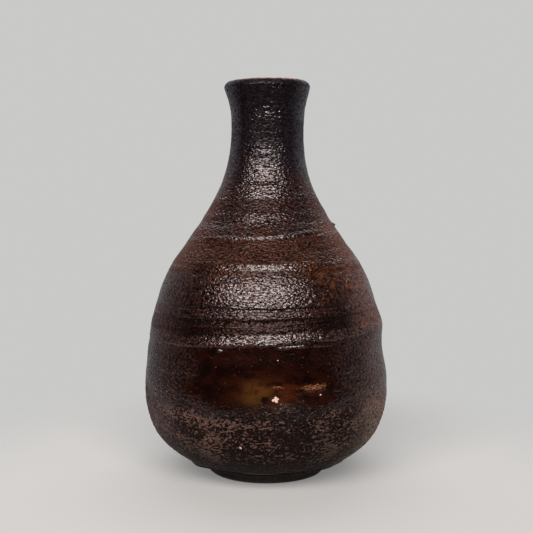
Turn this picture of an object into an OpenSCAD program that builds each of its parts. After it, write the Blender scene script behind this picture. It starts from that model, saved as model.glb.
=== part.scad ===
// Hand-thrown stoneware sake bottle: a pear-shaped belly, a luted shoulder and
// neck, a turned foot ring, and an iron glaze inside and out.
// The origin is the centre of the foot's resting plane, and +Z runs up the bottle.

/* [Body] */
// Height of the whole bottle
bottle_h = 150; // [120:1:180]
// Radius of the glazed belly at its widest
belly_r = 46.7; // [40:0.1:54]
// Thickness of the fired clay wall
wall_t = 4.5; // [4:0.1:6]
// Thickness of the clay floor
floor_t = 6; // [5:0.1:8]
// Scale of the throwing rings, where 0 is a smooth wall
ring_depth = 1; // [0:0.1:1.5]

/* [Neck and mouth] */
// Radius of the glazed neck at its waist
neck_r = 13.7; // [13:0.1:16]
// Radius of the flared lip
lip_r = 16.1; // [15.5:0.1:20]
// Rounding of the lip, over its glaze
lip_round = 2.4; // [1.6:0.1:2.6]
// Radius of the glazed throat, where a stopper would sit
throat_r = 8.8; // [7:0.1:9]

/* [Foot] */
// Radius of the foot ring
foot_r = 22.3; // [19:0.1:26]
// Height of the foot ring
foot_h = 3.4; // [2:0.1:5]
// Width of the foot ring's resting face
foot_w = 5; // [3:0.1:8]

/* [Glaze and slip] */
// Thickness of the outer glaze
glaze_t = 0.5; // [0.3:0.05:0.7]
// Thickness of the liner glaze
liner_t = 0.4; // [0.3:0.05:0.6]
// Thickness of the luting slip in the shoulder seam
slip_t = 0.4; // [0.3:0.05:0.8]

/* [Hidden] */
$fn = 120;

CLAY = [0.24, 0.15, 0.11];
SLIP = [0.30, 0.19, 0.14];
GLAZE = [0.17, 0.09, 0.07];
LINER = [0.20, 0.11, 0.08];
GRIT = [0.12, 0.09, 0.08];
FELDSPAR = [0.80, 0.68, 0.60];

// The outline is a smooth curve through these stations. Each gives its height as a
// share of bottle_h, and its fullness: 0 is the neck's radius and 1 the belly's.
STATIONS = [[0.023, 0.31], [0.037, 0.49], [0.067, 0.71], [0.107, 0.87], [0.160, 0.965],
            [0.233, 1.00], [0.320, 0.965], [0.400, 0.91], [0.480, 0.805],
            [0.545, 0.66], [0.600, 0.48], [0.667, 0.275], [0.733, 0.12],
            [0.800, 0.03], [0.867, 0.00]];
// The flare above the waist: height share, and 0 at the neck's radius to 1 at the lip's.
FLARE = [[0.900, 0.04], [0.933, 0.18], [0.960, 0.68]];
// Throwing rings: height as a share of bottle_h, rise in mm, half width in mm.
RINGS = [[0.832, 0.20, 0.9], [0.812, -0.20, 0.9], [0.741, -0.35, 1.0],
         [0.614, 0.35, 1.5], [0.551, 0.40, 1.7], [0.524, -0.15, 1.4],
         [0.455, -0.35, 1.1], [0.430, -0.50, 1.2], [0.412, 0.35, 1.2],
         [0.376, 0.50, 1.3], [0.362, -0.50, 1.2], [0.317, 0.25, 1.5],
         [0.282, -0.25, 1.6]];

// Levels at which the outer surface changes hands
BASE_Z = foot_h;
GLAZE_LINE = foot_h + 3.1;
SEAM_LOW = bottle_h * 0.545;
SEAM_HIGH = SEAM_LOW + 7;
LIP_Z = bottle_h - lip_round;
LIP_C = lip_r - lip_round;
// Levels at which the inner surface changes hands
FLOOR_Z = foot_h + floor_t;
THROAT_LOW = bottle_h * 0.805;
THROAT_HIGH = bottle_h * 0.915;
STEP = 1.5;
LIP_CLAY = lip_round - glaze_t;
EPS = 0.01;
CRUMB_GAP = 0.03;

knots = concat(
    [for (s = STATIONS) [s[0] * bottle_h, neck_r + s[1] * (belly_r - neck_r)]],
    [for (s = FLARE) [s[0] * bottle_h, neck_r + s[1] * (lip_r - neck_r)]],
    [[LIP_Z, lip_r]]);
last = len(knots) - 1;

// Slope of the outline at knot i, from its two neighbours
function knot_slope(i) =
    let (a = knots[max(0, i - 1)], b = knots[min(last, i + 1)])
    (b[1] - a[1]) / (b[0] - a[0]);

// Index of the span of the outline that holds level z
function span_of(z, i = 0) = i >= last - 1 || z < knots[i + 1][0] ? i : span_of(z, i + 1);

// Cubic Hermite value on one span
function hermite(a, b, ma, mb, z) =
    let (h = b[0] - a[0], t = (z - a[0]) / h)
    a[1] * (1 + 2 * t) * pow(1 - t, 2) + ma * h * t * pow(1 - t, 2)
    + b[1] * t * t * (3 - 2 * t) + mb * h * t * t * (t - 1);

function smooth_r(z) =
    let (i = span_of(z))
    hermite(knots[i], knots[i + 1], knot_slope(i), knot_slope(i + 1), z);

function slope(z) = (smooth_r(z + 0.2) - smooth_r(z - 0.2)) / 0.4;

// Horizontal thickness of a coat or wall that is t thick square to the surface
function across(t, z) = t * sqrt(1 + pow(slope(z), 2));

function sum(v, i = 0) = i < len(v) ? v[i] + sum(v, i + 1) : 0;

function rings(z) =
    ring_depth * sum([for (g = RINGS) g[1] * exp(-pow((z - g[0] * bottle_h) / g[2], 2))]);

// Radii of the four surfaces at level z, from the outside in
function glaze_r(z) = smooth_r(z) + rings(z);
function clay_r(z) = glaze_r(z) - across(glaze_t, z);
function hollow_r(z) = inside_r(z, 0);
function liner_r(z) = inside_r(z, liner_t);

// The hollow's radius inside a coat: it follows the outline up to the throat,
// which is a plain cylinder, and then opens to the lip.
function inside_r(z, coat) =
    let (bore = throat_r + liner_t - coat,
         opening = LIP_C - LIP_CLAY - throat_r - liner_t)
    z > THROAT_HIGH ? bore + opening * pow((z - THROAT_HIGH) / (LIP_Z - THROAT_HIGH), 2)
    : z > THROAT_LOW ? bore
    : max(bore, smooth_r(z) - across(glaze_t + wall_t + coat, z));

// Evenly spaced levels from break to break, with every break among them
function levels(breaks) = concat(
    [for (k = [0 : len(breaks) - 2])
        let (a = breaks[k], b = breaks[k + 1], n = ceil((b - a) / STEP))
        for (i = [0 : n - 1]) a + (b - a) * i / n],
    [breaks[len(breaks) - 1]]);

// Points of each surface over those levels
function glaze_path(breaks) = [for (z = levels(breaks)) [glaze_r(z), z]];
function clay_path(breaks) = [for (z = levels(breaks)) [clay_r(z), z]];
function hollow_path(breaks) = [for (z = levels(breaks)) [hollow_r(z), z]];
function liner_path(breaks) = [for (z = levels(breaks)) [liner_r(z), z]];

// Breaks of the inner surface above the seam. The throat starts a hair above
// THROAT_LOW, so that its edge is crisp where the hollow below is wider.
NECK_BREAKS = [THROAT_LOW, THROAT_LOW + EPS, THROAT_HIGH, LIP_Z];

function reversed(v) = [for (i = [len(v) - 1 : -1 : 0]) v[i]];

// Arc over the lip, from the outside (0 degrees) to the inside (180 degrees)
function lip_arc(r) = [for (a = [15 : 15 : 165]) [LIP_C + r * cos(a), LIP_Z + r * sin(a)]];

module turned(points) rotate_extrude() polygon(points);

// Turned foot ring, with a softened outer edge at the resting face
module foot_ring() {
    edge = 0.5;
    color(CLAY)
        turned([[foot_r - foot_w, 0], [foot_r - edge, 0], [foot_r, edge],
                [foot_r + 0.2, foot_h], [foot_r - foot_w - 0.8, foot_h]]);
}

// Floor and belly, thrown in one piece up to the shoulder seam
module belly_section() {
    color(CLAY)
        turned(concat([[0, BASE_Z]],
                      clay_path([BASE_Z, GLAZE_LINE, SEAM_LOW]),
                      reversed(hollow_path([FLOOR_Z, SEAM_HIGH])),
                      [[0, FLOOR_Z]]));
}

// Shoulder, neck and mouth, thrown apart and lowered over the belly's bevelled edge
module neck_section() {
    color(CLAY)
        turned(concat(clay_path([SEAM_LOW + slip_t, LIP_Z]),
                      lip_arc(LIP_CLAY),
                      reversed(hollow_path(concat([SEAM_HIGH + slip_t], NECK_BREAKS)))));
}

// Slip that joins the two bevelled edges
module luting_slip() {
    color(SLIP)
        turned([[clay_r(SEAM_LOW), SEAM_LOW], [clay_r(SEAM_LOW + slip_t), SEAM_LOW + slip_t],
                [hollow_r(SEAM_HIGH + slip_t), SEAM_HIGH + slip_t],
                [hollow_r(SEAM_HIGH), SEAM_HIGH]]);
}

// Iron glaze from above the foot to over the lip
module outer_glaze() {
    color(GLAZE)
        turned(concat(glaze_path([GLAZE_LINE, LIP_Z]),
                      lip_arc(lip_round),
                      [[LIP_C - lip_round, LIP_Z], [LIP_C - LIP_CLAY, LIP_Z]],
                      reversed(lip_arc(LIP_CLAY)),
                      reversed(clay_path([SEAM_LOW + slip_t, LIP_Z])),
                      reversed(clay_path([GLAZE_LINE, SEAM_LOW]))));
}

// Poured glaze that makes the inside watertight
module liner_glaze() {
    color(LINER)
        turned(concat([[0, FLOOR_Z]],
                      hollow_path([FLOOR_Z, SEAM_HIGH]),
                      hollow_path(concat([SEAM_HIGH + slip_t], NECK_BREAKS)),
                      reversed(liner_path(concat([FLOOR_Z + liner_t], NECK_BREAKS))),
                      [[0, FLOOR_Z + liner_t]]));
}

// A crumb fused to the glaze at a height and bearing, sunk by a share of its radius
// and flat where it meets the surface. Bearing 0 is the front, and it grows
// towards +X.
module crumb(z, bearing, radius, sunk) {
    tilt = atan((glaze_r(z + 0.2) - glaze_r(z - 0.2)) / 0.4);
    rotate([0, 0, bearing - 90])
        translate([glaze_r(z), 0, z])
            rotate([0, tilt, 0])
                difference() {
                    translate([-sunk * radius, 0, 0])
                        sphere(r = radius, $fn = 48);
                    translate([CRUMB_GAP - 2 * radius, -radius, -radius])
                        cube(2 * radius);
                }
}

// Kiln grit: height, bearing and radius of each crumb fused to the outside
GRIT_CRUMBS = [[95.5, 88, 0.9], [14.5, 62, 1.0], [12.5, 52, 0.8], [17.5, 71, 0.7],
               [143.5, -84, 0.8], [71.5, 58, 0.6], [27.0, -66, 0.6]];

module kiln_grit() {
    color(GRIT)
        for (g = GRIT_CRUMBS)
            crumb(g[0], g[1], g[2], 0.25);
}

// Feldspar flecks that stand out of the glaze: height, bearing and radius
FLECKS = [[36.8, 4, 1.1], [19.3, -11, 0.7], [50.5, 5, 0.6], [38.0, 24, 0.6]];

module stone_flecks() {
    color(FELDSPAR)
        for (g = FLECKS)
            crumb(g[0], g[1], g[2], 0.6);
}

foot_ring();
belly_section();
neck_section();
luting_slip();
outer_glaze();
liner_glaze();
kiln_grit();
stone_flecks();
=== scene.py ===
"""Looks for the sake bottle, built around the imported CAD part.

Every visible piece is a closed mesh that stands for one CAD node. Its outline comes
from that node, and all pieces share one hand-thrown warp, so the layers stay nested.
Lengths are in millimetres until a mesh is made. Heights run up from the foot's
resting plane, and bearings run in degrees from the front (-Y) round towards +X.
"""

import math

import bmesh
import bpy
import numpy as np
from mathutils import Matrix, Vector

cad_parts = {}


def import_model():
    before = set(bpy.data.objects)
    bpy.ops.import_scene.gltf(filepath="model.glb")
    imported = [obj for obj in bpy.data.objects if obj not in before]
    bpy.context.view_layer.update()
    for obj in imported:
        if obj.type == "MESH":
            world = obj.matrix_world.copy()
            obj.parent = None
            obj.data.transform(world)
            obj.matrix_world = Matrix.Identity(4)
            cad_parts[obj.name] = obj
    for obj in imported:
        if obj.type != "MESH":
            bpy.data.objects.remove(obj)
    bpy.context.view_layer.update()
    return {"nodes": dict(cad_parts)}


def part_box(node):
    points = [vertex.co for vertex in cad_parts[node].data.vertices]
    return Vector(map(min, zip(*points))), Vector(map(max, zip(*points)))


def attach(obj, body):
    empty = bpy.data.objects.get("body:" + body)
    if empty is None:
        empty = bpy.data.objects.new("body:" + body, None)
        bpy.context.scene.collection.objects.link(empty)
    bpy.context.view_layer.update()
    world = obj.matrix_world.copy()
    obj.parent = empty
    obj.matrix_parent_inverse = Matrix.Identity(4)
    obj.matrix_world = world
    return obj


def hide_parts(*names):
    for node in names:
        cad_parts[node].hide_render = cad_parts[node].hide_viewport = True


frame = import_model()

MM = 0.001

# ---------------------------------------------------------------- sizes from the frame


def box_mm(node):
    """The low and high corners of a CAD node's box, in mm."""
    low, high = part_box(node)
    return np.array(low) / MM, np.array(high) / MM


def outline(node, facing, z_range, smoothing):
    """A function from height to the radius of a CAD node's surface.

    facing is 1 for the surface that faces away from the axis and -1 for the one that
    faces it. The CAD's throwing rings are smoothed out of it over that many mm.
    """
    mesh = frame["nodes"][node].data
    points = np.array([v.co for v in mesh.vertices]) / MM
    normals = np.array([v.normal for v in mesh.vertices])
    radii = np.hypot(points[:, 0], points[:, 1])
    outward = (points[:, 0] * normals[:, 0] + points[:, 1] * normals[:, 1]) / np.maximum(radii, 1e-6)
    heights = points[:, 2]
    in_range = (heights >= z_range[0] - 0.01) & (heights <= z_range[1] + 0.01)
    wanted = in_range & (outward * facing > 0.3)
    levels, place = np.unique(np.round(heights[wanted], 1), return_inverse=True)
    found = np.zeros(len(levels))
    np.maximum.at(found, place, radii[wanted])
    step = 0.25
    even = np.arange(levels[0], levels[-1] + step, step)
    radius = np.interp(even, levels, found)
    if smoothing:
        reach = int(3 * smoothing / step)
        weights = np.exp(-0.5 * (np.arange(-reach, reach + 1) * step / smoothing) ** 2)
        before = 2 * radius[0] - radius[reach:0:-1]
        after = 2 * radius[-1] - radius[-2 : -reach - 2 : -1]
        padded = np.concatenate([before, radius, after])
        radius = np.convolve(padded, weights / weights.sum(), "valid")
    return lambda z: np.interp(z, even, radius)


HEIGHT = box_mm("outer_glaze")[1][2]
GLAZE_T = HEIGHT - box_mm("neck_section")[1][2]
LIP_ROUND = 2.4  # radius of the lip's rounding
LIP_Z = HEIGHT - LIP_ROUND
LIP_SWEEP = (8, 172)  # degrees of the rounding that is built, from outside over to inside
GLAZE_LINE = box_mm("outer_glaze")[0][2]
BASE_Z = box_mm("foot_ring")[1][2]
FOOT_R = box_mm("foot_ring")[1][0]
FOOT_WIDTH = 5.6
SEAM_LOW = box_mm("luting_slip")[0][2]
SEAM_HIGH = box_mm("luting_slip")[1][2]
FLOOR_Z = box_mm("liner_glaze")[0][2]
LINER_T = 0.4
HAIR = 0.02  # the least space left between neighbouring layers

glaze_outline = outline("outer_glaze", 1, (GLAZE_LINE, LIP_Z), 2.5)
base_outline = outline("belly_section", 1, (BASE_Z, GLAZE_LINE), 0)
hollow_outline = outline("liner_glaze", 1, (FLOOR_Z, LIP_Z), 0)
LIP_C = float(glaze_outline(LIP_Z)) - LIP_ROUND  # radius at the middle of the rounding

# ---------------------------------------------------------------- repeatable noise


def make_lattice(seed):
    """A shuffled table and unit gradients for one seed."""
    random = np.random.RandomState(seed)
    gradients = random.normal(size=(256, 3))
    gradients /= np.linalg.norm(gradients, axis=1)[:, None]
    return random.permutation(256), gradients, random.uniform(0, 200, 3)


def noise(points, size, seed):
    """Smooth noise from about -1 to 1 with features of that size in mm, or (x, y, z) sizes."""
    table, gradients, offset = make_lattice(seed)
    p = points / np.array(size) + offset
    cell = np.floor(p).astype(np.int64)
    f = p - cell
    ease = f * f * f * (f * (f * 6 - 15) + 10)
    total = np.zeros(p.shape[:-1])
    for dx in (0, 1):
        for dy in (0, 1):
            for dz in (0, 1):
                h = table[(cell[..., 0] + dx) & 255]
                h = table[(h + cell[..., 1] + dy) & 255]
                h = table[(h + cell[..., 2] + dz) & 255]
                corner = np.array([dx, dy, dz])
                weight = np.abs(1 - corner - ease).prod(-1)
                total += weight * (gradients[h] * (f - corner)).sum(-1)
    return total * 1.8


def smoothstep(low, high, value):
    t = np.clip((value - low) / (high - low), 0, 1)
    return t * t * (3 - 2 * t)


def degrees_from(bearing, middle):
    """Signed degrees from middle round to a bearing, from -180 to 180."""
    return (bearing - middle + 180) % 360 - 180


def spread(bearing, middle, half):
    """1 near a bearing, fading to 0 a little past half degrees to each side."""
    away = np.abs(degrees_from(bearing, middle))
    return 1 - smoothstep(0.7 * half, 1.25 * half, away)


def placed(radii, bearing, heights):
    """Points in mm at those radii, bearings and heights."""
    b = np.radians(bearing)
    return np.stack([radii * np.sin(b), -radii * np.cos(b), heights * np.ones_like(b)], -1)


def on_surface(bearing, z):
    """Points in mm on the smooth outline."""
    return placed(glaze_outline(z), bearing, z)


def bearings(count):
    """Evenly spaced bearings all the way round, and a one for each."""
    return np.arange(count) * (360 / count), np.ones(count)


# ---------------------------------------------------------------- hand-thrown relief

# Throwing lines: height at the front, tilt (mm of climb from front to +X side), middle
# bearing, half span, rise, and the widths above and below the crest.
LINES = [
    (125.2, 0.3, -7, 22, 0.20, 0.4, 0.6),
    (122.2, 0.4, -6, 18, 0.14, 0.4, 0.6),
    (126.6, 0.3, 0, 180, -0.10, 2.6, 1.4),
    (111.4, 0.5, -8, 30, -0.30, 0.5, 0.5),
    (97.4, 0.8, 0, 180, -0.14, 1.2, 2.0),
    (99.6, 0.8, 0, 180, 0.10, 1.4, 1.6),
    (92.5, 1.9, -2, 50, 0.32, 0.5, 0.65),
    (87.0, 1.0, 0, 180, -0.16, 3.4, 3.0),
    (82.9, 0.5, -8, 40, 0.34, 0.5, 0.95),
    (79.2, 0.4, 0, 60, -0.16, 1.2, 0.7),
    (75.0, 0.4, 0, 180, 0.10, 4.0, 3.6),
    (67.3, 0.4, -6, 56, -0.40, 0.5, 0.5),
    (63.5, 0.5, -2, 68, -0.55, 0.55, 1.8),
    (50.5, 1.0, -48, 20, -0.10, 0.9, 1.2),
    (44.0, 1.0, -46, 20, -0.10, 0.9, 1.2),
    (61.9, 1.0, -20, 13, 0.26, 0.5, 0.6),
    (62.5, 1.0, 19, 13, 0.34, 0.5, 0.6),
    (59.5, 2.0, -2, 62, -0.40, 3.0, 1.6),
    (55.9, 2.2, -2, 78, 0.42, 1.8, 0.6),
    (54.7, 0.4, 18, 14, 0.32, 0.5, 0.4),
    (53.3, 0.6, -27, 7, 0.26, 0.5, 0.4),
]
SHORT_LINE = 15  # half spans below this many degrees are ragged drips


def throwing_lines(bearing, z, points):
    """Relief in mm of the ridges and grooves that the potter's fingers left."""
    total = np.zeros_like(z)
    wander = noise(points, (30, 30, 60), 11)
    strength = 1 + 0.45 * noise(points, (11, 11, 40), 12)
    broken = noise(points, (3.5, 3.5, 2.5), 13)
    climb = np.sin(np.radians(bearing))
    for height, tilt, middle, half, rise, above, below in LINES:
        away = z - height - tilt * climb - 0.45 * wander
        width = np.where(away > 0, above, below)
        crest = np.exp(-((away / width) ** 2))
        span = np.ones_like(z) if half >= 180 else spread(bearing, middle, half)
        raggedness = 1.3 if half < SHORT_LINE else 0.3
        total += rise * crest * span * np.maximum(0, strength + raggedness * broken)
    return total


def faint_rings(bearing, z):
    """Fine rings all the way up, which climb a little from left to right."""
    climb = 2.0 * np.sin(np.radians(bearing))
    along = np.stack([np.zeros_like(z), np.zeros_like(z), z - climb], -1)
    slow = on_surface(bearing, z) / (28, 28, 400)
    return 0.05 * noise(along + slow, 3.1, 21) + 0.03 * noise(along + slow * 2, 1.4, 22)


def orange_peel(points):
    """The pebbled skin of the melted glaze."""
    coarse = noise(points, (2.6, 2.6, 1.9), 31)
    middle = noise(points, (1.35, 1.35, 1.0), 32)
    fine = noise(points, 0.8, 33)
    return 0.028 * coarse + 0.012 * middle + 0.018 * fine


def crust_cover(z, points):
    """How far the dry crust covers the glaze, from 0 to 1 before it breaks up."""
    edge = 33.5 + 3.0 * noise(points, (14, 14, 9), 41) + 2.0 * noise(points, 4, 42)
    return 1 - smoothstep(edge - 4, edge + 3, z)


def crust_flakes(bearing, z, points):
    """The crust's own shape: 0 in the gaps between flakes and 1 on them."""
    pattern = 0.7 * noise(points, (1.6, 1.6, 0.8), 43) + 0.8 * noise(points, (0.85, 0.85, 0.5), 44)
    pattern += 0.6 * noise(points, (11, 11, 6), 45)
    low = 0.6 * (1 - smoothstep(4, 13, z))
    bare = spread(bearing, 0, 20) * 0.30
    return smoothstep(-0.25 + 0.35 * low + bare, 0.45 + 0.35 * low + bare, pattern)


def nodules(bearing, z, points):
    """The rough, lumpy patch on the right shoulder."""
    patch = spread(bearing, 47, 24) * np.exp(-(((z - 75) / 10) ** 2))
    return patch * (0.45 + 0.6 * noise(points, 2.6, 51) + 0.5 * noise(points, 1.2, 52))


def glassy_pool(bearing, z, points):
    """1 where the glaze pooled smooth and dark on the front, under the main ridge."""
    wander = 5 * noise(points, (14, 14, 10), 53)
    across = np.abs(degrees_from(bearing, -3)) + 1.5 * wander
    top = 55.2 + 2.2 * np.sin(np.radians(bearing))
    in_front = 1 - smoothstep(24, 40, across)
    above_crust = smoothstep(30, 36, z + wander)
    under_ridge = 1 - smoothstep(top - 1, top + 1, z)
    return in_front * above_crust * under_ridge


def mm_across(bearing, middle, height):
    """How far round the surface a bearing is from a middle one, at a height."""
    return np.radians(degrees_from(bearing, middle)) * glaze_outline(height)


def blister(bearing, z, middle, height, radius):
    """A round burst bubble: a raised rim around a shallow pit."""
    d = np.hypot(mm_across(bearing, middle, height), z - height) / radius
    return np.exp(-(((d - 0.8) / 0.3) ** 2)) - 0.6 * np.exp(-((d / 0.5) ** 2))


def oval(bearing, z, middle, height, half_width, half_height):
    """1 inside an oval on the surface, falling smoothly to 0 outside it."""
    across = mm_across(bearing, middle, height) / half_width
    up = (z - height) / half_height
    return np.exp(-((across**2 + up**2) ** 1.5))


def form(bearing, z):
    """Slow departures from a true round, shared by every layer."""
    b = np.radians(bearing)
    swell = -0.15 * np.sin(b) - 0.15 * np.cos(2 * b - 0.3)
    dent = -0.8 * spread(bearing, 92, 34) * np.exp(-(((z - 48) / 5) ** 2))
    bulge = 0.5 * spread(bearing, 90, 36) * np.exp(-(((z - 58.5) / 4) ** 2))
    body = smoothstep(3, 20, z) * (1 - 0.6 * smoothstep(90, 130, z))
    return swell * body + dent + bulge


def relief(bearing, z, points):
    """Relief in mm of the glaze's outer face, and the parts of it that colour follows."""
    lines = throwing_lines(bearing, z, points)
    cover = crust_cover(z, points)
    flakes = crust_flakes(bearing, z, points) * cover
    lumps = nodules(bearing, z, points)
    pool = glassy_pool(bearing, z, points)
    total = lines + (faint_rings(bearing, z) + orange_peel(points)) * (1 - 0.6 * pool)
    total += 0.24 * flakes + 0.09 * cover * noise(points, (1.1, 1.1, 0.7), 46)
    total += 0.22 * lumps + 0.45 * blister(bearing, z, 50, 74.5, 2.0)
    total -= 0.35 * oval(bearing, z, 22, 37.8, 9.0, 2.0)
    return total, {"line": lines, "crust": flakes, "cover": cover, "lumps": lumps, "pool": pool}


def thrown(points):
    """Leans the neck and dips the rim, in mm. Every piece goes through it."""
    moved = points.copy()
    z = points[..., 2]
    moved[..., 0] += 0.5 * smoothstep(105, 138, z)
    bearing = np.degrees(np.arctan2(points[..., 0], -points[..., 1]))
    dip = 0.05 * spread(bearing, -62, 36) + 0.25 * spread(bearing, 140, 40)
    moved[..., 2] -= dip * smoothstep(140, 149, z)
    return moved


# ---------------------------------------------------------------- making meshes


def add_to_scene(name, data):
    """An object that holds that mesh, light or camera."""
    holder = bpy.data.objects.new(name, data)
    bpy.context.scene.collection.objects.link(holder)
    return holder


def add_piece(name, mesh):
    """A smooth-shaded piece."""
    mesh.shade_smooth()
    return add_to_scene(name, mesh)


def turned(name, radii, heights, columns, closed, attributes=None):
    """A closed mesh from rings of points, given in mm as rows of radii and heights.

    A closed piece joins its last ring to its first. Any other ends at a pole on the
    axis at both ends, at its first and last rings' heights.
    """
    points = thrown(placed(radii, columns, heights)) * MM
    rows, across = radii.shape
    index = np.arange(rows * across).reshape(rows, across)
    upper = np.roll(index, -1, 0) if closed else index[1:]
    lower = index if closed else index[:-1]
    faces = np.stack([lower, np.roll(lower, -1, 1), np.roll(upper, -1, 1), upper], -1)
    faces = faces.reshape(-1, 4).tolist()
    vertices = points.reshape(-1, 3)
    if not closed:
        poles = thrown(np.array([[0, 0, heights[0].mean()], [0, 0, heights[-1].mean()]])) * MM
        first, last = len(vertices), len(vertices) + 1
        vertices = np.concatenate([vertices, poles])
        for j in range(across):
            k = (j + 1) % across
            faces.append([first, index[0, k], index[0, j]])
            faces.append([last, index[-1, j], index[-1, k]])
    mesh = bpy.data.meshes.new(name)
    mesh.from_pydata(vertices.tolist(), [], faces)
    for key, values in (attributes or {}).items():
        layer = mesh.attributes.new(key, "FLOAT", "POINT")
        full = np.zeros(len(vertices), np.float32)
        full[: values.size] = values.ravel()
        layer.data.foreach_set("value", full)
    return add_piece(name, mesh)


def rings_between(low, high, count):
    """Rows of heights from low to high, each of which may be one value per bearing."""
    t = np.linspace(0, 1, count)[:, None]
    return (1 - t) * low + t * high


def lip_angles(count, inwards=True):
    """A column of angles over the lip's rounding, from outside to inside or back."""
    first, last = LIP_SWEEP if inwards else LIP_SWEEP[::-1]
    return np.radians(np.linspace(first, last, count))[:, None]


def lip_ring(radius, angles, flat):
    """Rows of radii and heights around the lip's rounding."""
    return LIP_C + radius * np.cos(angles) * flat, LIP_Z + radius * np.sin(angles) * flat


def glaze_lip(raised, lump, columns, flat):
    """Rows over the lip, which carry on from the wall's relief and fade out inside."""
    around = lip_angles(14)
    lip_r, lip_z = lip_ring(LIP_ROUND, around, flat)
    points = placed(lip_r, columns, lip_z)
    bumps = 0.3 * raised + 0.07 * noise(points, 2.2, 62) + 0.16 * noise(points, 9, 63)
    lip_r = lip_r + form(columns, LIP_Z * flat) + (bumps + lump) * np.cos(around)
    return lip_r, lip_z + bumps * np.sin(around)


def glaze_skin():
    """The outer glaze, from its irregular edge above the foot to over the lip."""
    columns, flat = bearings(900)
    edge = GLAZE_LINE - 0.6 + 0.7 * noise(on_surface(columns, flat * GLAZE_LINE), 9, 61)
    z = rings_between(edge, LIP_Z * flat, 520)
    raised, parts = relief(columns, z, on_surface(columns, z))
    thinning = smoothstep(-0.1, 1.6, z - edge)
    settle = 1 - 0.7 * smoothstep(LIP_Z - 2.5, LIP_Z, z)
    lump = 0.45 * spread(columns, -80, 14)
    r = glaze_outline(z) - (1 - thinning) * 0.9 * GLAZE_T + raised * thinning * settle + form(columns, z)
    r = r + lump * smoothstep(LIP_Z - 4.5, LIP_Z, z)

    lip_r, lip_z = glaze_lip(raised[-1], lump, columns, flat)
    inside_r, inside_z = lip_ring(LIP_ROUND - GLAZE_T, lip_angles(10, inwards=False), flat)
    inside_r = inside_r + form(columns, LIP_Z * flat)
    back_z = rings_between(LIP_Z * flat, edge + 0.3, 70)
    back_r = clay_radius(columns, back_z) + HAIR

    radii = np.concatenate([r, lip_r, inside_r, back_r])
    heights = np.concatenate([z, lip_z, inside_z, back_z])
    attributes = {}
    for key, values in parts.items():
        tail = np.zeros((len(radii) - len(values), len(columns)))
        attributes[key] = np.concatenate([values, tail]).astype(np.float32)
    return turned("glaze_skin", radii, heights, columns, True, attributes)


def level_width(outline_of, z, thickness):
    """How wide a coat of that thickness is measured level, where the wall leans."""
    slope = outline_of(z + 0.5) - outline_of(z - 0.5)
    return thickness * np.sqrt(1 + slope**2)


def clay_radius(bearing, z):
    """The clay's outer radius under the glaze, with the larger throwing lines in it."""
    coat = level_width(glaze_outline, z, GLAZE_T)
    lines = throwing_lines(bearing, z, on_surface(bearing, z))
    under = glaze_outline(z) - coat + form(bearing, z) + np.minimum(lines, 0.6 * lines)
    bare = base_outline(z) + form(bearing, z)
    return np.where(z < GLAZE_LINE + 0.4, np.minimum(bare, under + 5 * HAIR), under - 4 * HAIR)


def hollow_radius(bearing, z, coat=0.0):
    """The radius of the hollow in the clay, less a coat of liner."""
    finger = 0.12 * noise(on_surface(bearing, z), (40, 40, 4.5), 71)
    return hollow_outline(z) - level_width(hollow_outline, z, coat) + 0.6 * form(bearing, z) + finger


def disc_rows(rim_r, rim_z, count, inward):
    """Flat rings between the axis and a rim, towards the axis if inward is true."""
    t = np.linspace(0.04, 0.97, count)[:, None]
    t = t[::-1] if inward else t
    return t * rim_r, np.zeros_like(t) + rim_z * np.ones_like(t)


WALL_COLUMNS = 240


def belly_wall():
    """Floor and belly up to the shoulder seam."""
    columns, flat = bearings(WALL_COLUMNS)
    out_z = rings_between(BASE_Z * flat, SEAM_LOW * flat, 120)
    out_r = clay_radius(columns, out_z)
    in_z = rings_between(SEAM_HIGH * flat, FLOOR_Z * flat, 90)
    in_r = hollow_radius(columns, in_z)
    under_r, under_z = disc_rows(out_r[0], BASE_Z * flat, 24, False)
    grain = noise(placed(under_r, 180 - columns, under_z), 2.0, 72)
    spiral = 0.12 * np.sin(under_r * 2.2 + np.radians(columns))
    inside_foot = under_r < FOOT_R - 6
    under_z = under_z + (0.08 * grain + spiral + 0.1) * inside_foot
    floor_r, floor_z = disc_rows(in_r[-1], FLOOR_Z * flat, 16, True)
    radii = np.concatenate([under_r, out_r, in_r, floor_r])
    heights = np.concatenate([under_z, out_z, in_z, floor_z])
    return turned("belly_wall", radii, heights, columns, False)


def neck_wall():
    """Shoulder, neck and mouth above the seam."""
    columns, flat = bearings(WALL_COLUMNS)
    out_z = rings_between((SEAM_LOW + 0.4) * flat, LIP_Z * flat, 100)
    out_r = clay_radius(columns, out_z)
    lip_r, lip_z = lip_ring(LIP_ROUND - GLAZE_T - 2 * HAIR, lip_angles(12), flat)
    lip_r = lip_r + form(columns, LIP_Z * flat)
    in_z = rings_between(LIP_Z * flat, SEAM_HIGH * flat, 90)
    in_r = hollow_radius(columns, in_z)
    radii = np.concatenate([out_r, lip_r, in_r])
    heights = np.concatenate([out_z, lip_z, in_z])
    return turned("neck_wall", radii, heights, columns, True)


def seam_slip():
    """The slip in the bevelled seam, just inside both edges."""
    columns, flat = bearings(WALL_COLUMNS)
    low_r = clay_radius(columns, SEAM_LOW * flat) - 0.3
    high_r = hollow_radius(columns, SEAM_HIGH * flat) + 0.3
    radii = np.stack([low_r, low_r, high_r, high_r])
    levels = [SEAM_LOW + 0.05, SEAM_LOW + 0.35, SEAM_HIGH - 0.05, SEAM_HIGH - 0.35]
    heights = np.array(levels)[:, None] * flat
    return turned("seam_slip", radii, heights, columns, True)


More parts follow.
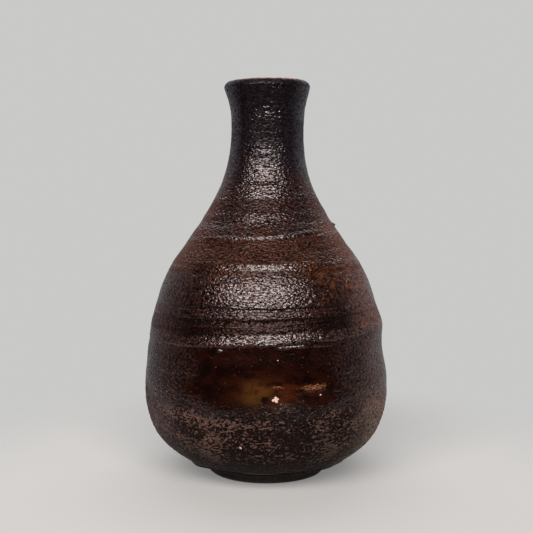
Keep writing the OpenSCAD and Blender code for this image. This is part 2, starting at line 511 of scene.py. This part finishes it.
def liner_skin():
    """The poured glaze over the floor and up the inside to the lip."""
    columns, flat = bearings(WALL_COLUMNS)
    low = (FLOOR_Z + HAIR) * flat
    top = (LIP_Z - HAIR) * flat
    floor_top = (FLOOR_Z + LINER_T) * flat
    back_z = rings_between(low, top, 110)
    back_r = hollow_radius(columns, back_z, 1.5 * HAIR)
    face_z = rings_between(top, floor_top, 170)
    face_r = hollow_radius(columns, face_z, LINER_T)
    face_r = face_r + 0.05 * noise(on_surface(columns, face_z), (3, 3, 5), 73)
    under_r, under_z = disc_rows(back_r[0], low, 10, False)
    floor_r, floor_z = disc_rows(face_r[-1], floor_top, 16, True)
    radii = np.concatenate([under_r, back_r, face_r, floor_r])
    heights = np.concatenate([under_z, back_z, face_z, floor_z])
    return turned("liner_skin", radii, heights, columns, False)


def foot():
    """The turned foot ring, chipped and gritty along its resting edge."""
    columns, flat = bearings(480)
    inner = FOOT_R - FOOT_WIDTH
    top = BASE_Z - 1.5 * HAIR
    loop = [(0.0, inner), (0.0, FOOT_R - 0.9), (0.15, FOOT_R - 0.45), (0.5, FOOT_R - 0.15),
            (1.1, FOOT_R), (2.2, FOOT_R), (top, FOOT_R + 0.1), (top, inner - 0.7)]
    corners = np.array(loop + loop[:1])
    lengths = np.concatenate([[0], np.cumsum(np.hypot(*np.diff(corners, axis=0).T))])
    even = np.linspace(0, lengths[-1], 60)[:-1]
    z = np.interp(even, lengths, corners[:, 0])[:, None] * flat
    r = np.interp(even, lengths, corners[:, 1])[:, None] * flat
    points = placed(r, columns, z)
    rough = 0.2 * noise(points, (2.2, 2.2, 1.2), 81) + 0.2 * noise(points, (6, 6, 3), 82)
    chips = np.minimum(0, 0.25 + noise(points, 3.2, 83)) * 0.6
    clear = smoothstep(0, 0.6, z) * smoothstep(BASE_Z, BASE_Z - 0.7, z)
    outside = r > FOOT_R - 2
    r = r + np.where(outside, (rough + chips) * clear, 0)
    return turned("foot", r, z, columns, True)


def unit_ball():
    """Vertices and triangles of a ball of radius 1."""
    ball = bpy.data.meshes.new("ball")
    shape = bmesh.new()
    bmesh.ops.create_icosphere(shape, subdivisions=4, radius=1)
    shape.to_mesh(ball)
    shape.free()
    vertices = np.array([v.co for v in ball.vertices])
    triangles = np.array([list(p.vertices) for p in ball.polygons])
    bpy.data.meshes.remove(ball)
    return vertices, triangles


def spot_on_glaze(height, bearing):
    """A point on the warped outline in mm, and the direction straight out from it."""
    b = math.radians(bearing)
    out = np.array([math.sin(b), -math.cos(b), 0])
    slope = float(glaze_outline(height + 0.5) - glaze_outline(height - 0.5))
    normal = out + np.array([0, 0, -slope])
    normal /= np.linalg.norm(normal)
    r = float(glaze_outline(height)) + float(form(np.array([bearing]), np.array([height]))[0])
    return out * r + np.array([0, 0, height]), normal


def crumb_piece(name, crumbs, seed, roughness, squash):
    """One mesh of irregular crumbs, flattened against the glaze and sunk into it."""
    vertices, faces = [], []
    random = np.random.RandomState(seed)
    unit, triangles = unit_ball()
    for height, bearing, radius, sunk in crumbs:
        point, normal = spot_on_glaze(height, bearing)
        spot = random.uniform(0, 50, 3)
        coarse = noise(unit * 1.2 + spot, 1.0, seed)
        fine = noise(unit * 2.9 + spot, 1.0, seed + 1)
        swell = 1 + roughness * coarse + 0.4 * roughness * fine
        local = unit * swell[:, None] * radius
        local -= np.outer(local @ normal, normal) * (1 - squash)
        centre = point - normal * sunk * radius * squash
        faces.append(triangles + sum(len(v) for v in vertices))
        vertices.append(centre + local)
    points = thrown(np.concatenate(vertices)) * MM
    mesh = bpy.data.meshes.new(name)
    mesh.from_pydata(points.tolist(), [], np.concatenate(faces).tolist())
    return add_piece(name, mesh)


# Height, bearing and radius of each crumb, and how many of its radii it is sunk
GRIT = [(95.5, 88, 0.8, 0.3), (14.5, 62, 0.9, 0.4), (12.5, 52, 0.7, 0.4), (17.5, 71, 0.6, 0.4),
        (145.6, -84, 0.6, 1.0), (71.5, 58, 0.6, 0.3), (27.0, -66, 0.5, 0.4)]
FLECKS = [(36.9, 4, 1.05, 0.3), (19.3, -12, 0.5, 0.4), (50.5, 5, 0.2, 0.4), (38.0, 24, 0.25, 0.4)]

# ---------------------------------------------------------------- materials


class Graph:
    """A small helper for building one material's nodes."""

    def __init__(self, name):
        self.material = bpy.data.materials.new(name)
        self.material.use_nodes = True
        self.nodes = self.material.node_tree.nodes
        self.links = self.material.node_tree.links
        self.nodes.clear()
        self.shader = self.nodes.new("ShaderNodeBsdfPrincipled")
        out = self.nodes.new("ShaderNodeOutputMaterial")
        self.links.new(self.shader.outputs[0], out.inputs[0])
        self.place = self.nodes.new("ShaderNodeTexCoord").outputs["Object"]

    def feed(self, socket, value):
        """Links a node's output, or sets a plain value. A colour leaves out its alpha."""
        if isinstance(value, bpy.types.NodeSocket):
            self.links.new(value, socket)
        elif socket.type == "RGBA":
            socket.default_value = (*value, 1)
        else:
            socket.default_value = value

    def math(self, operation, a, b=0.0):
        """One step of arithmetic on numbers."""
        node = self.nodes.new("ShaderNodeMath")
        node.operation = operation
        self.feed(node.inputs[0], a)
        self.feed(node.inputs[1], b)
        return node.outputs[0]

    def product(self, *values):
        """All the values multiplied together."""
        total = values[0]
        for value in values[1:]:
            total = self.math("MULTIPLY", total, value)
        return total

    def ramp(self, value, low, high, to_low=0.0, to_high=1.0):
        """Maps low..high to to_low..to_high with soft ends."""
        node = self.nodes.new("ShaderNodeMapRange")
        node.interpolation_type = "SMOOTHSTEP"
        self.feed(node.inputs[0], value)
        for socket, number in zip(node.inputs[1:5], (low, high, to_low, to_high)):
            self.feed(socket, number)
        return node.outputs[0]

    def mix(self, factor, a, b):
        """Blends two colours."""
        node = self.nodes.new("ShaderNodeMix")
        node.data_type = "RGBA"
        self.feed(node.inputs[0], factor)
        self.feed(node.inputs[6], a)
        self.feed(node.inputs[7], b)
        return node.outputs[2]

    def blend(self, factor, a, b):
        """Blends two numbers."""
        node = self.nodes.new("ShaderNodeMix")
        self.feed(node.inputs[0], factor)
        self.feed(node.inputs[2], a)
        self.feed(node.inputs[3], b)
        return node.outputs[0]

    def stretched(self, sizes):
        """Object coordinates divided by sizes in mm."""
        node = self.nodes.new("ShaderNodeMapping")
        node.inputs["Scale"].default_value = [1 / (size * MM) for size in sizes]
        self.links.new(self.place, node.inputs[0])
        return node.outputs[0]

    def noise(self, sizes, detail=3.0, rough=0.55, warp=0.0):
        """Smooth noise from 0 to 1 with features of those sizes in mm."""
        node = self.nodes.new("ShaderNodeTexNoise")
        self.links.new(self.stretched(sizes), node.inputs["Vector"])
        node.inputs["Scale"].default_value = 1.0
        node.inputs["Detail"].default_value = detail
        node.inputs["Roughness"].default_value = rough
        node.inputs["Distortion"].default_value = warp
        return node.outputs[0]

    def cells(self, sizes):
        """Distance to the nearest of scattered points, about one size apart."""
        node = self.nodes.new("ShaderNodeTexVoronoi")
        self.links.new(self.stretched(sizes), node.inputs["Vector"])
        node.inputs["Scale"].default_value = 1.0
        return node.outputs["Distance"]

    def attribute(self, name):
        """A number kept on the mesh's points."""
        node = self.nodes.new("ShaderNodeAttribute")
        node.attribute_name = name
        return node.outputs["Fac"]

    def axis(self, name):
        """One object coordinate, in mm."""
        node = self.nodes.new("ShaderNodeSeparateXYZ")
        self.links.new(self.place, node.inputs[0])
        return self.math("DIVIDE", node.outputs[name], MM)

    def sideways(self):
        """0 on the front and back of the bottle and 1 at its left and right."""
        x, y = self.axis("X"), self.axis("Y")
        radius = self.math("SQRT", self.math("ADD", self.product(x, x), self.product(y, y)))
        return self.math("ABSOLUTE", self.math("DIVIDE", x, radius))

    def vector(self, operation, a, b=(0, 0, 0), output="Vector"):
        """One step of arithmetic on vectors."""
        node = self.nodes.new("ShaderNodeVectorMath")
        node.operation = operation
        self.feed(node.inputs[0], a)
        self.feed(node.inputs[1], b)
        return node.outputs[output]

    def near(self, height, bearing, reach, flat=1.0):
        """1 at a spot on the glaze, fading to 0 at reach mm. flat above 1 makes it wide and low."""
        spot = placed(float(glaze_outline(height)), bearing, height) * MM
        away = self.vector("SUBTRACT", self.place, spot.tolist())
        away = self.vector("MULTIPLY", away, (1 / MM, 1 / MM, flat / MM))
        return self.ramp(self.vector("LENGTH", away, output="Value"), 0.0, reach, 1.0, 0.0)

    def bump(self, height, distance, strength=1.0):
        """A normal bent by a height from 0 to 1 that stands for distance mm."""
        node = self.nodes.new("ShaderNodeBump")
        node.inputs["Distance"].default_value = distance * MM
        self.feed(node.inputs["Strength"], strength)
        self.links.new(height, node.inputs["Height"])
        return node.outputs[0]

    def finish(self, colour, roughness, normal=None, ior=1.5, coat=None):
        """Feeds the shader. A coat shares the base's normal."""
        self.feed(self.shader.inputs["Base Color"], colour)
        self.feed(self.shader.inputs["Roughness"], roughness)
        self.shader.inputs["IOR"].default_value = ior
        if normal is not None:
            self.links.new(normal, self.shader.inputs["Normal"])
        if coat is not None:
            self.feed(self.shader.inputs["Coat Weight"], coat)
            self.links.new(normal, self.shader.inputs["Coat Normal"])
        return self.material


class GlazePatterns:
    """The heights, noises and relief that every layer of the iron glaze follows."""

    def __init__(self, g):
        self.z = g.axis("Z")
        wave = g.noise((26, 26, 14), 2.0)
        self.z_wavy = g.math("ADD", self.z, g.ramp(wave, 0.3, 0.7, -5.0, 5.0))
        self.on_neck = g.ramp(self.z_wavy, 106, 124)
        self.grain = g.noise((1.1, 1.1, 0.8), 3.0, 0.6)
        self.speck = g.noise((0.7, 0.7, 0.5), 2.0, 0.6)
        self.blotch = g.noise((7, 7, 4), 4.0, 0.6)
        self.fine = g.math("SUBTRACT", g.noise((0.95, 0.95, 0.42), 4.0, 0.7, 0.6), 0.5)
        self.line = g.attribute("line")
        self.crust = g.attribute("crust")
        self.cover = g.attribute("cover")
        self.lumps = g.attribute("lumps")
        self.pool = g.attribute("pool")


def shoulder_colour(g, at):
    """Violet-black that breaks to a speckled brown over the shoulder."""
    brown = g.mix(g.ramp(at.grain, 0.40, 0.62), (0.003, 0.0008, 0.0004), (0.028, 0.0086, 0.0040))
    orange = g.product(g.ramp(at.speck, 0.54, 0.66), g.ramp(g.noise((9, 9, 5), 3.0), 0.42, 0.6))
    brown = g.mix(orange, brown, (0.070, 0.024, 0.008))
    violet = g.mix(g.ramp(at.grain, 0.42, 0.60), (0.001, 0.0005, 0.0005), (0.018, 0.0080, 0.0074))
    browned = g.product(g.ramp(at.blotch, 0.42, 0.62), g.ramp(at.z_wavy, 91, 98, 1.0, 0.3),
                        g.ramp(at.z_wavy, 76, 83, 0.5, 1.0))
    colour = g.mix(browned, violet, brown)
    warm_band = g.product(g.ramp(at.z_wavy, 78, 84), g.ramp(at.z_wavy, 96, 90), 0.85)
    return g.mix(warm_band, colour, brown)


def neck_colour(g, at, colour):
    """Blue-black at the neck."""
    black = g.mix(g.ramp(at.grain, 0.4, 0.7), (0.0008, 0.0007, 0.0012), (0.0085, 0.0080, 0.0115))
    return g.mix(at.on_neck, colour, black)


def pool_colour(g, at, colour):
    """Black in the smooth pool, red low down with a painted warm reflection in amber, and bright specks.
    """
    cloudy = g.ramp(g.noise((5, 5, 3.5), 3.0), 0.4, 0.65)
    deep = g.mix(cloudy, (0.0022, 0.0006, 0.0004), (0.0075, 0.0014, 0.0007))
    colour = g.mix(at.pool, colour, deep)
    red = g.product(g.near(39, 5, 26, 2.6), g.ramp(g.noise((5, 5, 3), 3.0), 0.35, 0.6))
    colour = g.mix(red, colour, (0.029, 0.0065, 0.0018))
    # A painted warm reflection, in amber, low on the front.
    amber_reflection = g.product(g.near(39, -4, 8.5, 1.2), g.ramp(g.noise((4, 4, 3), 2.0), 0.3, 0.55), 0.9)
    colour = g.mix(amber_reflection, colour, (0.050, 0.021, 0.0045))
    specks = g.product(g.ramp(g.noise((0.7, 0.7, 0.6), 1.0), 0.755, 0.785), at.pool)
    return g.mix(specks, colour, (0.15, 0.062, 0.020))


def rust_colour(g, at, colour):
    """Rust on the lumpy patch of the right shoulder."""
    rust = g.product(g.ramp(at.lumps, 0.35, 1.0), g.ramp(at.speck, 0.42, 0.58, 0.15, 1.0), 0.85)
    return g.mix(rust, colour, (0.075, 0.025, 0.009))


def crust_colour(g, at, colour):
    """Dull tan flakes over black at the base, and a few above its edge on the right."""
    gaps = g.mix(g.ramp(at.grain, 0.52, 0.66), (0.0008, 0.0006, 0.0005), (0.006, 0.0038, 0.0030))
    tone = g.mix(g.ramp(at.blotch, 0.4, 0.62), (0.068, 0.041, 0.036), (0.112, 0.062, 0.048))
    tone = g.mix(g.ramp(at.z_wavy, 22, 11), tone, (0.050, 0.040, 0.032))
    tone = g.mix(g.ramp(at.speck, 0.40, 0.62), g.mix(0.55, gaps, tone), tone)
    flaky = g.math("ADD", g.product(at.crust, 0.5), g.product(at.fine, 2.4))
    colour = g.mix(g.ramp(at.cover, 0.1, 0.6), colour, gaps)
    colour = g.mix(g.product(g.ramp(flaky, 0.22, 0.34), at.cover), colour, tone)
    pale = g.product(g.ramp(g.noise((1.3, 1.3, 0.8), 2.0), 0.66, 0.72), at.cover, 0.8)
    colour = g.mix(pale, colour, (0.17, 0.10, 0.070))
    above = g.math("MAXIMUM", g.near(40.9, 21, 10.5, 4.6), g.product(g.near(41.3, 5, 5, 5.0), 0.9))
    above = g.ramp(g.math("ADD", above, g.product(at.fine, 3.4)), 0.74, 0.90)
    return g.mix(above, colour, (0.15, 0.066, 0.032))


def groove_shade_and_wear_colour(g, at, colour):
    """Painted shade in the grooves, and brown where the glaze ran thin on ridges and the lip."""
    # Painted shade darkens the grooves.
    colour = g.mix(g.ramp(at.line, -0.12, -0.40, 0.0, 0.8), colour, (0.0018, 0.0008, 0.0006))
    ridge = g.product(g.ramp(at.line, 0.16, 0.45), g.ramp(at.grain, 0.4, 0.6), 0.5)
    colour = g.mix(ridge, colour, (0.045, 0.018, 0.012))
    lip = g.product(g.ramp(at.z, HEIGHT - 0.6, HEIGHT - 0.25), g.ramp(at.blotch, 0.38, 0.50, 0.15, 1.0),
                    g.ramp(at.grain, 0.38, 0.55, 0.1, 0.9))
    return g.mix(lip, colour, (0.22, 0.10, 0.060))


# Painted sheen on the flanks, lighter on the right where more light fell: the heights over which
# each tone takes over from the one before it, and its colours on the left and on the right.
FLANK_SHEEN = [
    (60, 52, (0.036, 0.021, 0.020), (0.09, 0.036, 0.026)),
    (78, 86, (0.080, 0.022, 0.012), (0.15, 0.058, 0.042)),
    (92, 98, (0.070, 0.016, 0.008), (0.07, 0.018, 0.010)),
]


def painted_flank_sheen(g, at, colour):
    """Painted sheen lightens both flanks at the scale of the grain, and painted light makes the right
    side lighter still.
    """
    right = g.ramp(g.axis("X"), -20, 34)
    painted_sheen = g.mix(right, (0.048, 0.028, 0.028), (0.20, 0.105, 0.085))
    for start, full, on_left, on_right in FLANK_SHEEN:
        painted_sheen = g.mix(g.ramp(at.z_wavy, start, full), painted_sheen, g.mix(right, on_left, on_right))
    painted_sheen = g.mix(at.on_neck, painted_sheen, (0.068, 0.072, 0.092))
    painted_sheen = g.mix(at.cover, painted_sheen, g.mix(right, (0.095, 0.080, 0.088), (0.34, 0.245, 0.205)))
    # Painted sheen, strongest at the left and right of the bottle.
    sheen_share = g.product(g.ramp(g.sideways(), 0.62, 1.04), g.ramp(at.grain, 0.38, 0.6, 0.15, 0.75))
    return g.mix(sheen_share, colour, painted_sheen)


# Bands where the melt was thin and dried dull: lowest and highest level on the middle
# line, climb in mm over 40 mm to the right, and how dull.
DULL_BANDS = [
    (58.9, 64.2, 1.2, 0.9),
    (64.2, 67.0, 0.4, 0.6),
    (76.0, 78.8, 0.4, 0.35),
    (78.8, 80.6, 0.4, 0.85),
    (83.0, 91.4, 1.9, 0.9),
    (92.6, 95.6, 1.9, 0.8),
    (95.6, 100.4, 0.8, 0.35),
    (100.4, 105.6, 0.6, 0.85),
    (118.6, 125.4, 0.3, 0.35),
    (125.4, 134.5, 0.3, 0.88),
]


def glaze_gloss(g, at):
    """How much clear gloss lies over the colour, broken up at the scale of the pebbling."""
    dry = g.math("MAXIMUM", at.cover, g.ramp(at.z, HEIGHT - 3.2, HEIGHT - 1.8))
    x = g.axis("X")
    for low, high, climb, share in DULL_BANDS:
        level = g.math("ADD", at.z, g.product(x, -climb / 40))
        from_below = g.ramp(level, low - 0.5, low + 0.5)
        from_above = g.ramp(level, high + 0.5, high - 0.5, 0.0, share)
        dry = g.math("MAXIMUM", dry, g.product(from_below, from_above))
    patchy = g.ramp(g.noise((0.9, 0.9, 0.7), 2.0), 0.40, 0.54, 0.06, 1.0)
    return g.product(g.blend(dry, 1.0, 0.06), g.ramp(at.lumps, 0.1, 0.5, 1.0, 0.3), patchy)


def glaze_normal(g, at):
    """Pebbling on the melt and a finer crumble on the crust. Smoother in the pool and neck."""
    cells = g.cells((1.15, 1.15, 0.85))
    domes = g.product(cells, cells, -1.1)
    pebbles = g.math("ADD", g.noise((0.8, 0.8, 0.6), 2.0, 0.5), domes)
    crumble = g.math("ADD", g.product(at.fine, 2.5), g.product(domes, 0.5))
    height = g.blend(at.cover, pebbles, crumble)
    smooth = g.math("MAXIMUM", at.pool, g.ramp(at.z, 124.5, 128, 0.0, 0.35))
    return g.bump(height, 0.19, g.blend(smooth, 1.0, 0.3))


def iron_glaze():
    """Blue-black at the neck, brown on the shoulder, amber and black below, dry at the base."""
    g = Graph("iron_glaze")
    at = GlazePatterns(g)
    colour = shoulder_colour(g, at)
    # The layers paint shade in the grooves, sheen on the flanks and a warm reflection in the pool.
    for layer in (neck_colour, pool_colour, rust_colour, crust_colour, groove_shade_and_wear_colour, painted_flank_sheen):
        colour = layer(g, at, colour)
    rough = g.blend(g.math("MAXIMUM", at.cover, at.on_neck), 0.3, 0.7)
    settings = {
        "Specular IOR Level": 0.08,
        "Specular Tint": (1.0, 0.5, 0.42),
        "Coat Roughness": 0.06,
        "Coat IOR": 1.5,
        "Sheen Weight": 0.02,
        "Sheen Roughness": 0.45,
        "Sheen Tint": (1.0, 0.62, 0.54),
    }
    for name, value in settings.items():
        g.feed(g.shader.inputs[name], value)
    return g.finish(colour, rough, glaze_normal(g, at), 1.5, glaze_gloss(g, at))


def fired_clay(name, light, dark, size):
    """Matt iron-bearing stoneware with sand in it."""
    g = Graph(name)
    grain = g.noise((size, size, size), 4.0, 0.65)
    sand = g.cells((size * 0.7,) * 3)
    colour = g.mix(g.ramp(grain, 0.35, 0.68), dark, light)
    colour = g.mix(g.ramp(sand, 0.16, 0.05), colour, [2.2 * c for c in light])
    rough = g.blend(grain, 0.62, 0.92)
    normal = g.bump(g.math("SUBTRACT", grain, g.product(sand, 0.5)), 0.25)
    return g.finish(colour, rough, normal)


def inner_glaze():
    """Gloss dark brown liner with faint runs."""
    g = Graph("liner_glaze")
    runs = g.noise((2.5, 2.5, 14), 3.0)
    colour = g.mix(g.ramp(runs, 0.35, 0.7), (0.010, 0.005, 0.004), (0.035, 0.016, 0.010))
    normal = g.bump(g.noise((1.2, 1.2, 1.2), 2.0), 0.12)
    return g.finish(colour, g.blend(runs, 0.14, 0.34), normal, 1.7)


def feldspar():
    """Half-melted pinkish-white stone."""
    g = Graph("feldspar")
    cloud = g.noise((0.5, 0.5, 0.5), 3.0)
    colour = g.mix(g.ramp(cloud, 0.35, 0.65), (0.30, 0.17, 0.12), (0.62, 0.47, 0.40))
    return g.finish(colour, g.blend(cloud, 0.35, 0.6), g.bump(cloud, 0.15))


def put_on(piece, node, material):
    """Gives a piece its material and its body, and hides the CAD node that it stands for."""
    piece.data.materials.append(material)
    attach(piece, "root")
    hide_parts(node)


put_on(glaze_skin(), "outer_glaze", iron_glaze())
put_on(belly_wall(), "belly_section",
       fired_clay("body_clay", (0.030, 0.019, 0.014), (0.010, 0.007, 0.006), 1.4))
put_on(neck_wall(), "neck_section",
       fired_clay("neck_clay", (0.075, 0.040, 0.026), (0.035, 0.019, 0.013), 1.2))
put_on(seam_slip(), "luting_slip",
       fired_clay("slip", (0.11, 0.060, 0.038), (0.07, 0.038, 0.025), 0.6))
put_on(liner_skin(), "liner_glaze", inner_glaze())
put_on(foot(), "foot_ring",
       fired_clay("foot_clay", (0.034, 0.018, 0.014), (0.004, 0.003, 0.0025), 1.0))
put_on(crumb_piece("grit_crumbs", GRIT, seed=91, roughness=0.35, squash=0.85), "kiln_grit",
       fired_clay("grit", (0.030, 0.020, 0.016), (0.012, 0.008, 0.007), 0.4))
put_on(crumb_piece("stone_flecks", FLECKS, seed=95, roughness=0.45, squash=0.4), "stone_flecks",
       feldspar())

# ---------------------------------------------------------------- floor, light and camera

PALE = (0.585, 0.585, 0.575)
FLOOR_FADE = (0.09, 0.17)  # metres from the middle over which the floor fades out
ROOM_LIGHT = (0.010, 0.27)  # the room's brightness on the camera's side and behind the bottle
AIM_Z = 0.08  # height that the lights point at
EYE = (0, -0.370, 0.1098)
EYE_DOWN = 4.73  # degrees


def floor():
    """A pale round floor that fades into the background."""
    mesh = bpy.data.meshes.new("floor")
    around = np.radians(np.arange(0, 360, 5))
    rings = [0.02, 0.1, 0.2, 0.4, 0.8]
    points = [(0, 0, 0)] + [(r * math.cos(a), r * math.sin(a), 0) for r in rings for a in around]
    n = len(around)
    faces = [(0, 1 + j, 1 + (j + 1) % n) for j in range(n)]
    for i in range(len(rings) - 1):
        for j in range(n):
            k = (j + 1) % n
            faces.append((1 + i * n + j, 1 + (i + 1) * n + j, 1 + (i + 1) * n + k, 1 + i * n + k))
    mesh.from_pydata(points, [], faces)
    g = Graph("floor")
    g.finish((0.23, 0.23, 0.225), 0.9)
    g.feed(g.shader.inputs["Emission Color"], PALE)
    g.feed(g.shader.inputs["Emission Strength"], 0.34)
    from_middle = g.vector("LENGTH", g.place, output="Value")
    g.feed(g.shader.inputs["Alpha"], g.ramp(from_middle, *FLOOR_FADE, 1.0, 0.0))
    mesh.materials.append(g.material)
    add_to_scene("floor", mesh)


def world():
    """A pale room that is dark on the camera's side, plain pale where the camera looks."""
    room_world = bpy.data.worlds.new("studio")
    room_world.use_nodes = True
    bpy.context.scene.world = room_world
    nodes = room_world.node_tree.nodes
    link = room_world.node_tree.links.new
    nodes.clear()
    place = nodes.new("ShaderNodeTexCoord")
    parts = nodes.new("ShaderNodeSeparateXYZ")
    link(place.outputs["Generated"], parts.inputs[0])
    behind = nodes.new("ShaderNodeMath")
    behind.operation = "MULTIPLY_ADD"
    link(parts.outputs["X"], behind.inputs[0])
    behind.inputs[1].default_value = 0.3
    link(parts.outputs["Y"], behind.inputs[2])
    brightness = nodes.new("ShaderNodeMapRange")
    brightness.interpolation_type = "SMOOTHSTEP"
    link(behind.outputs[0], brightness.inputs[0])
    for socket, number in zip(brightness.inputs[1:5], (-0.3, 1.0, *ROOM_LIGHT)):
        socket.default_value = number
    room = nodes.new("ShaderNodeBackground")
    room.inputs[0].default_value = (0.93, 0.96, 1.0, 1)
    link(brightness.outputs[0], room.inputs[1])
    seen = nodes.new("ShaderNodeBackground")
    seen.inputs[0].default_value = (*PALE, 1)
    path = nodes.new("ShaderNodeLightPath")
    choose = nodes.new("ShaderNodeMixShader")
    link(path.outputs["Is Camera Ray"], choose.inputs[0])
    link(room.outputs[0], choose.inputs[1])
    link(seen.outputs[0], choose.inputs[2])
    out = nodes.new("ShaderNodeOutputWorld")
    link(choose.outputs[0], out.inputs[0])


def softbox(name, azimuth, elevation, distance, width, height, radiance, colour):
    """A rectangular light aimed at the middle of the bottle."""
    lamp = bpy.data.lights.new(name, "AREA")
    lamp.shape = "RECTANGLE"
    lamp.size = width
    lamp.size_y = height
    lamp.energy = radiance * math.pi * width * height
    lamp.color = colour
    holder = add_to_scene(name, lamp)
    a, e = math.radians(azimuth), math.radians(elevation)
    level = distance * math.cos(e)
    holder.location = (level * math.sin(a), -level * math.cos(a), AIM_Z + distance * math.sin(e))
    holder.rotation_euler = (math.pi / 2 - e, 0, a)


def camera():
    """Level with the shoulder and close in, looking slightly down."""
    lens = bpy.data.cameras.new("camera")
    lens.sensor_width = 36.0
    lens.lens = 64.7
    lens.clip_start = 0.01
    eye = add_to_scene("camera", lens)
    eye.location = EYE
    eye.rotation_euler = (math.radians(90 - EYE_DOWN), 0, 0)
    bpy.context.scene.camera = eye


floor()
world()
softbox("key", -6, 36, 0.9, 1.12, 0.38, 16.5, (1.0, 0.92, 0.89))
softbox("back", 180, 55, 0.9, 1.2, 0.8, 2.5, (0.97, 0.985, 1.0))
camera()
bpy.context.scene.view_settings.view_transform = "Standard"
